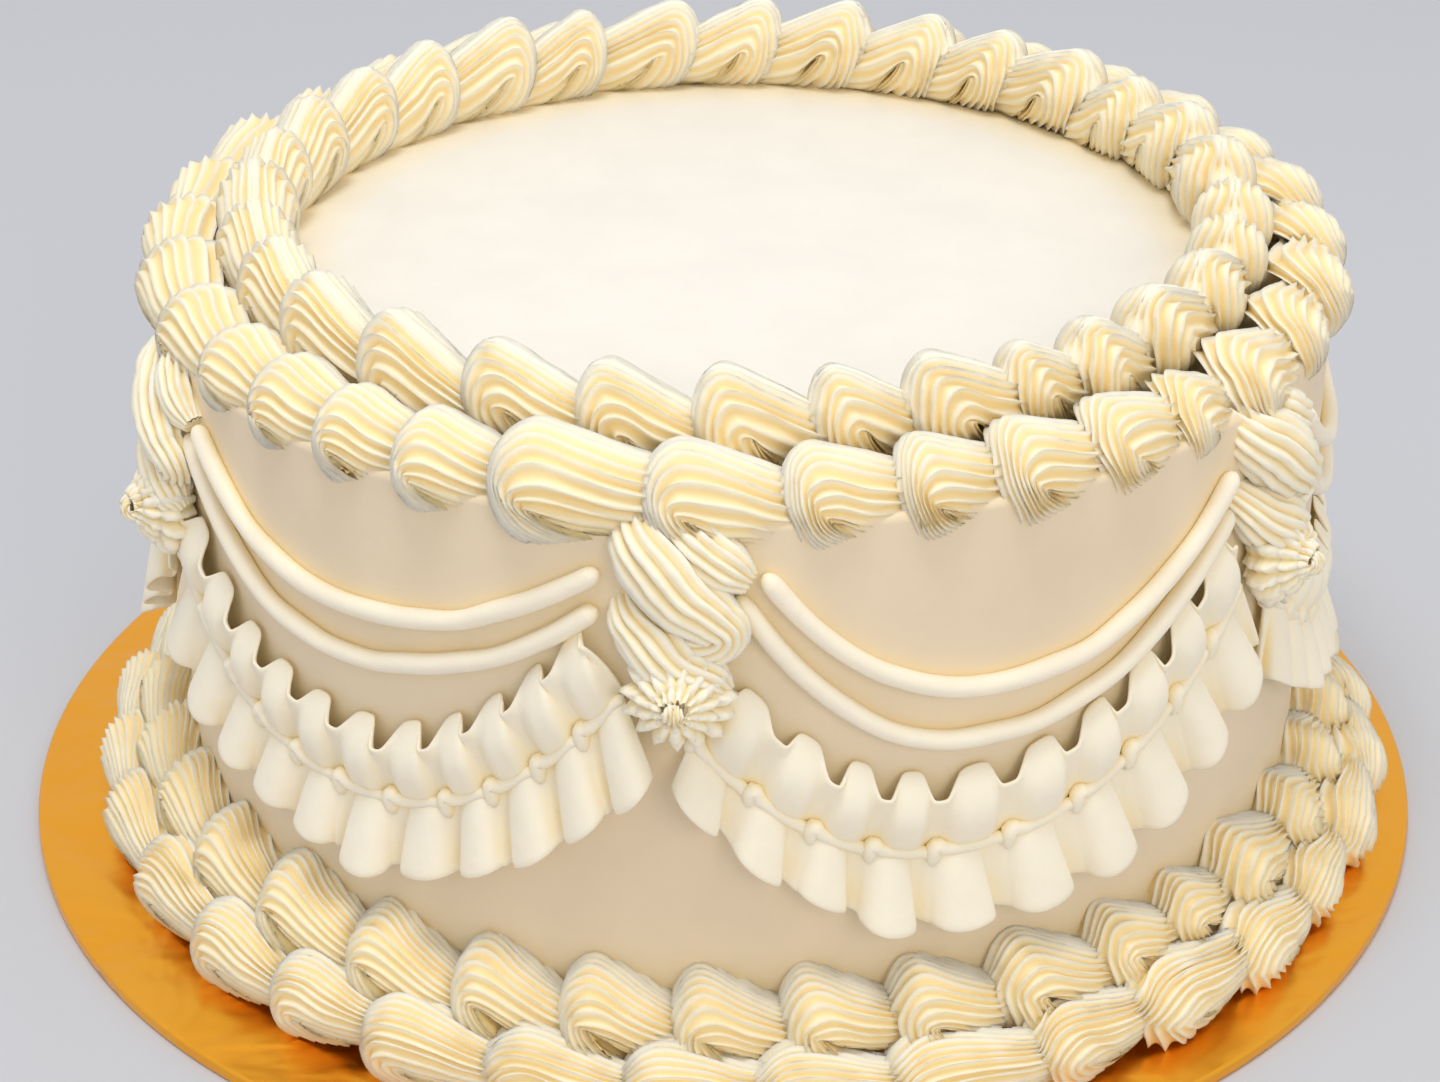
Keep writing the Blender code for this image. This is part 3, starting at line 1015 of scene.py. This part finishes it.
def make_drops(opening, teeth):
    """A few unlike drops, each with its top at the origin and the wall behind it at Y 0."""
    rng = random.Random("drops")
    drops = []
    for kind in range(DROP_KINDS):
        strokes = []
        for number, stroke in enumerate(DROP_STROKES):
            route = []
            for across, out, up, thick in stroke:
                stray = [rng.uniform(-reach, reach) for reach in DROP_STRAY]
                place = Vector((across + stray[0], -(out + stray[1]), up + stray[2])) * MM
                route.append((place, MM * thick * (1 + rng.uniform(-DROP_UNEVEN, DROP_UNEVEN))))
            strokes.append(pipe(f"stroke_{kind}_{number}", route, opening, 7))
        across, up = ROSETTE_MIDDLE
        rings = []
        for number, ring in enumerate(ROSETTE_RINGS):
            blades = pipe(
                f"rosette_{kind}_{number}",
                [
                    (Vector((across, -out, up + ROSETTE_LIFT * out)) * MM, MM * thick)
                    for out, thick in ring
                ],
                teeth,
                8,
            )
            soften(blades, ROSETTE_LUMPS)
            rings.append(blades)
        tuft = pipe(
            f"tuft_{kind}",
            [(Vector((across, -out, up)) * MM, MM * thick) for across, out, up, thick in DROP_TUFT],
            opening,
            6,
        )
        pick(*strokes, tuft, *rings)
        bpy.ops.object.join()
        drop = bpy.context.object
        edit(drop)
        bpy.ops.mesh.select_all(action="SELECT")
        bpy.ops.transform.resize(value=(1.0, DROP_FLATNESS, 1.0), center_override=(0.0, 0.0, 0.0))
        deselect_all()
        drops.append(drop)
    return drops


def place_drop(name, node, master, azimuth, material):
    """Hangs a copy of a drop on the wall, from under the top's outer shells."""
    drop = own_copy(master)
    drop.matrix_world = seat(azimuth, CAKE_RADIUS, DROP_TOP, 0.0)
    shape_in_place(drop)
    soften(drop, DROP_LUMPS)
    return settle(drop, name, material, [node])


# Ruffles


def fold_ends(number, line):
    """Where a swag's ruffles are gathered, as shares of its width, about evenly along the seam."""
    rng = random.Random(f"folds {number}")
    folds = FOLDS[number % 2]
    widths = [1 + rng.uniform(-FOLD_SPREAD, FOLD_SPREAD) for _ in range(folds)]
    reached = [0.0]
    for step in range(1, SEAM_STEPS + 1):
        before = along_seam(line, (step - 1) / SEAM_STEPS)
        here = along_seam(line, step / SEAM_STEPS)
        across = math.radians(here[0] - before[0]) * CAKE_RADIUS
        reached.append(reached[-1] + math.hypot(across, here[1] - before[1]))
    ends = [0.0]
    done = 0.0
    for width in widths[:-1]:
        done += width / sum(widths) * reached[-1]
        step = next(index for index, length in enumerate(reached) if length >= done)
        within = (done - reached[step - 1]) / (reached[step] - reached[step - 1])
        ends.append((step - 1 + within) / SEAM_STEPS)
    return [*ends, 1.0]


def in_fold(share, ends):
    """Which fold this share of the width is in, and how far through it."""
    fold = 0
    while fold < len(ends) - 2 and share > ends[fold + 1]:
        fold += 1
    return fold, (share - ends[fold]) / (ends[fold + 1] - ends[fold])


def along_seam(line, share):
    """The azimuth and height of the seam at this share of its width, and its slope over a degree."""
    left, _, right = line
    azimuth = left[0] + (right[0] - left[0]) * share
    rise = hanging_line(azimuth + 0.5, line) - hanging_line(azimuth - 0.5, line)
    return azimuth, hanging_line(azimuth, line), math.atan2(rise, math.radians(1.0) * CAKE_RADIUS)


def make_strip(name, rows, ends, place):
    """A sheet of icing: a grid whose points are put where place(share along, share up) says."""
    folds = len(ends) - 1
    deselect_all()
    bpy.ops.mesh.primitive_grid_add(
        x_subdivisions=FOLD_COLUMNS * folds, y_subdivisions=rows, size=1.0
    )
    strip = bpy.context.object
    strip.name = name
    for vertex in strip.data.vertices:
        spot = (vertex.co.x + 0.5) * folds
        fold = min(int(spot), folds - 1)
        share = ends[fold] + (ends[fold + 1] - ends[fold]) * (spot - fold)
        vertex.co = place(share, vertex.co.y + 0.5)
    wall = strip.modifiers.new("thickness", "SOLIDIFY")
    wall.thickness = SHEET
    wall.offset = 0.0
    smooth = strip.modifiers.new("smooth", "SUBSURF")
    smooth.levels = 1
    smooth.render_levels = 1
    apply_modifiers(strip)
    strip.data.shade_smooth()
    return strip


def make_frill(name, node, number, material):
    """The upper ruffle: it swings forward over each gather and back to the wall between them."""
    line = hung(SEAMS[number % 2], number, 0.0)
    ends = fold_ends(number, line)
    rng = random.Random(name)
    sizes = [1 + rng.uniform(-FRILL_UNEVEN, FRILL_UNEVEN) for _ in ends]

    def place(share, up):
        fold, through = in_fold(share, ends)
        width = ends[fold + 1] - ends[fold]
        size = sizes[fold] * (1 - through) + sizes[fold + 1] * through
        across, forward = between(FRILL_FOLD, through)
        share = ends[fold] + width * (through + (across - through) * up)
        azimuth, height, slope = along_seam(line, share)
        flare = FRILL_FLARE * size * up**FRILL_CURVE * forward
        belly = FRILL_ROOT_BELLY * (1 - up) + FRILL_BELLY * math.sin(math.pi * up)
        out = SHEET + flare + belly * (1 - forward)
        crown = min(1.0, max(0.0, (across - ARCH_START) / ARCH_WIDTH))
        arch = FRILL_ARCH * up * math.sin(math.pi * crown)
        along = -FRILL_RISE * up * math.sin(FRILL_LEAN * slope)
        height += FRILL_RISE * up * math.cos(FRILL_LEAN * slope) + arch
        height -= FRILL_DROOP * size * up * up * forward
        return on_cake(azimuth + math.degrees(along / CAKE_RADIUS), CAKE_RADIUS + out, height)

    strip = make_strip(name, FRILL_ROWS, ends, place)
    return settle(strip, name, material, [node])


def make_flounce(name, node, number, material):
    """The lower ruffle: broad rounded folds, each turning sharply back at one side."""
    line = hung(SEAMS[number % 2], number, 0.0)
    ends = fold_ends(number, line)
    rng = random.Random(name)
    sizes = [1 + rng.uniform(-FLOUNCE_UNEVEN, FLOUNCE_UNEVEN) for _ in ends]
    widths = FLOUNCE_WIDTHS[number % 2]

    def place(share, up):
        fold, through = in_fold(share, ends)
        down = 1 - up
        if number % 2:
            across, forward = between(FLOUNCE_FOLD, 1 - through)
            across = 1 - across
        else:
            across, forward = between(FLOUNCE_FOLD, through)
        width = ends[fold + 1] - ends[fold]
        share = ends[fold] + width * (through + (across - through) * down**FLOUNCE_GATHER)
        azimuth, height, slope = along_seam(line, share)
        wide = between(widths, min(1.0, max(0.0, share)))[0]
        flare = (FLOUNCE_ROOT + FLOUNCE_FLARE * down**FLOUNCE_CURVE * sizes[fold]) * forward
        fall = FLOUNCE_FALL * wide * sizes[fold] ** (FLOUNCE_LENGTHS * forward) * down
        along = fall * math.sin(FLOUNCE_LEAN * slope)
        height -= fall * math.cos(FLOUNCE_LEAN * slope)
        azimuth += math.degrees(along / CAKE_RADIUS)
        return on_cake(azimuth, CAKE_RADIUS + SHEET + flare, height)

    strip = make_strip(name, FLOUNCE_ROWS, ends, place)
    seam = make_seam_bead(name + "_seam", line, ends)
    pick(strip, seam)
    bpy.ops.object.join()
    return settle(bpy.context.object, name, material, [node])


def make_seam_bead(name, line, ends):
    """The line of icing over the seam: at each gather a full head, which thins to the next gather."""
    deselect_all()
    curve = bpy.data.curves.new(name, "CURVE")
    curve.dimensions = "3D"
    curve.resolution_u = 3
    curve.bevel_depth = 1.0
    curve.bevel_resolution = 3
    curve.use_fill_caps = True
    spline = curve.splines.new("BEZIER")
    spots = []
    for fold in range(len(ends) - 1):
        for through, up, out, thick in SEAM_BEAD:
            share = ends[fold] + through * (ends[fold + 1] - ends[fold])
            azimuth, height, _ = along_seam(line, share)
            spots.append((on_cake(azimuth, CAKE_RADIUS + out, height + up), thick))
    spline.bezier_points.add(len(spots) - 1)
    for point, (place, thick) in zip(spline.bezier_points, spots):
        point.co = place
        point.radius = thick
        point.handle_left_type = "AUTO"
        point.handle_right_type = "AUTO"
    return curve_to_mesh(name, curve)


# The scene round it


def make_floor():
    bpy.ops.mesh.primitive_plane_add(size=12.0, location=(0.0, 0.0, 0.0))
    floor = bpy.context.object
    floor.name = "floor"
    material, _, shader = new_material("pale_floor")
    shader.inputs["Base Color"].default_value = (0.57, 0.59, 0.655, 1.0)
    shader.inputs["Roughness"].default_value = 0.8
    floor.data.materials.append(material)


def area_light(name, place, aim, size, power, colour):
    """A round soft light at a place, turned to what it lights."""
    light = bpy.data.lights.new(name, "AREA")
    light.shape = "DISK"
    light.size = size
    light.energy = power
    light.color = colour
    lamp = bpy.data.objects.new(name, light)
    bpy.context.collection.objects.link(lamp)
    lamp.location = place
    lamp.rotation_euler = (Vector(aim) - Vector(place)).to_track_quat("-Z", "Y").to_euler()


def make_studio():
    make_floor()
    world = bpy.data.worlds.new("studio")
    bpy.context.scene.world = world
    world.use_nodes = True
    sky = world.node_tree.nodes["Background"]
    sky.inputs["Color"].default_value = (1.0, 0.965, 0.91, 1.0)
    sky.inputs["Strength"].default_value = 0.76
    area_light("overhead", (-0.1, -0.25, 1.4), (0.0, 0.0, 0.1), 0.5, 6.4, (0.92, 0.97, 1.0))
    area_light("front", (0.62, -1.4, 0.85), (0.0, 0.0, 0.06), 0.7, 4.4, (1.0, 0.90, 0.74))
    bpy.context.scene.view_settings.view_transform = "Standard"


def make_camera():
    camera = bpy.data.cameras.new("camera")
    camera.lens = CAMERA_LENS
    camera.sensor_width = CAMERA_FILM
    holder = bpy.data.objects.new("camera", camera)
    bpy.context.collection.objects.link(holder)
    holder.location = CAMERA_PLACE
    holder.rotation_euler = (math.radians(CAMERA_PITCH), 0.0, 0.0)
    bpy.context.scene.camera = holder


make_camera()
make_studio()

icing_group = make_icing_group()
# Painted shading: each icing's hollow colour is painted shade and bounce light in its grooves and
# hollows
coat_icing = make_icing(
    "coat_icing",
    icing_group,
    colour=(0.87, 0.84, 0.79),
    hollow=(0.97, 0.84, 0.56),
    reach=0.012,
    pits=0.00004,
    waves=0.0001,
    glow=0.0,
    # Painted shade: the wall takes a darker, warmer colour than the lit top
    side=(0.83, 0.69, 0.51),
    side_height=CAKE_TOP - 0.0001,
)
piped_icing = make_icing(
    "piped_icing",
    icing_group,
    colour=(0.99, 0.955, 0.845),
    hollow=(0.97, 0.74, 0.32),
    reach=0.0,
    pits=0.00006,
    waves=0.0004,
    glow=GLOW,
)
line_icing = make_icing(
    "line_icing",
    icing_group,
    colour=(0.96, 0.885, 0.74),
    hollow=(1.0, 0.84, 0.50),
    reach=0.004,
    pits=0.00004,
    waves=0.0003,
    glow=GLOW,
)

make_board(make_gold())
make_coat(coat_icing)

star = make_star_opening("star_opening", RIDGES, RIDGE_DEPTH)
teeth = make_star_opening("toothed_opening", ROSETTE_TEETH, ROSETTE_DEPTH)
shell_masters = [make_shells(row) for row in SHELL_ROWS]
drop_masters = make_drops(star, teeth)
for row, shells in zip(SHELL_ROWS, shell_masters):
    place_row(row, shells, piped_icing)

for swag in range(SWAGS):
    place_drop(
        f"piped_drop_{swag + 1}",
        f"drop_{swag + 1}",
        drop_masters[swag % DROP_KINDS],
        FIRST_DROP + SWAG_ANGLE * swag,
        piped_icing,
    )
    for side, line in (("upper", UPPER_STRING), ("lower", LOWER_STRING)):
        make_string(
            f"{side}_string_{swag + 1}",
            hung(line, swag),
            line_icing,
            f"string_{side}_{swag + 1}",
        )
    make_frill(f"piped_frill_{swag + 1}", f"frill_{swag + 1}", swag, line_icing)
    make_flounce(f"piped_flounce_{swag + 1}", f"flounce_{swag + 1}", swag, line_icing)

for spare in [*sum(shell_masters, []), *drop_masters, star, teeth]:
    bpy.data.objects.remove(spare, do_unlink=True)
